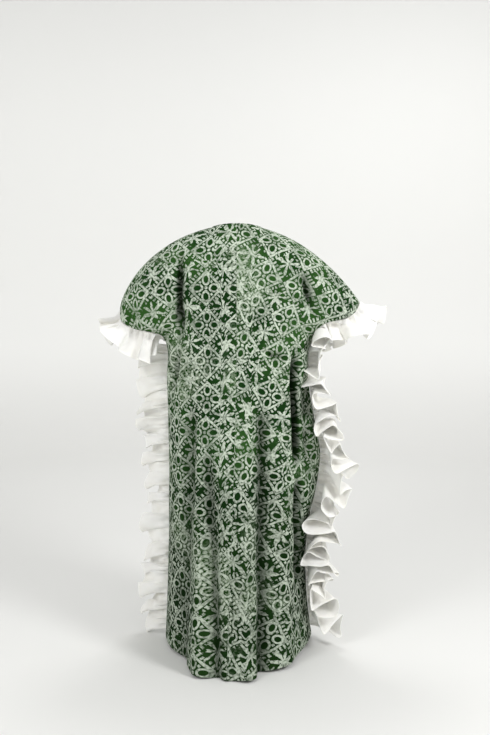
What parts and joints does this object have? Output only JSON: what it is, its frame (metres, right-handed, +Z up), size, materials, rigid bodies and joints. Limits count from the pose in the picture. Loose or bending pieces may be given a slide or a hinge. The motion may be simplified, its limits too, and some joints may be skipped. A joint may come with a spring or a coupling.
{
  "type": "kaftan dress",
  "caption": "Full-length printed cotton kaftan dress with open neck and arm openings, and gathered white ruffles round the sleeves and down both side seams.",
  "frame": {"origin": "on the shoulder line, midway between the shoulders, where the wearer holds the dress up, 1.44 m above the floor", "axes": "+Z up along the dress, -Y the way the wearer faces, so the centre back is at +Y, and +X the wearer's left"},
  "size_m": [1.0046, 0.5306, 1.4522],
  "materials": {
    "printed_cotton": "matte",
    "ruffle_cloth": "matte"
  },
  "bodies": {
    "root": {"back_left": "printed_cotton", "back_right": "printed_cotton", "front": "printed_cotton", "side_ruffle_left": "ruffle_cloth", "side_ruffle_right": "ruffle_cloth", "sleeve_ruffle_left": "ruffle_cloth", "sleeve_ruffle_right": "ruffle_cloth"}
  },
  "joints": []
}
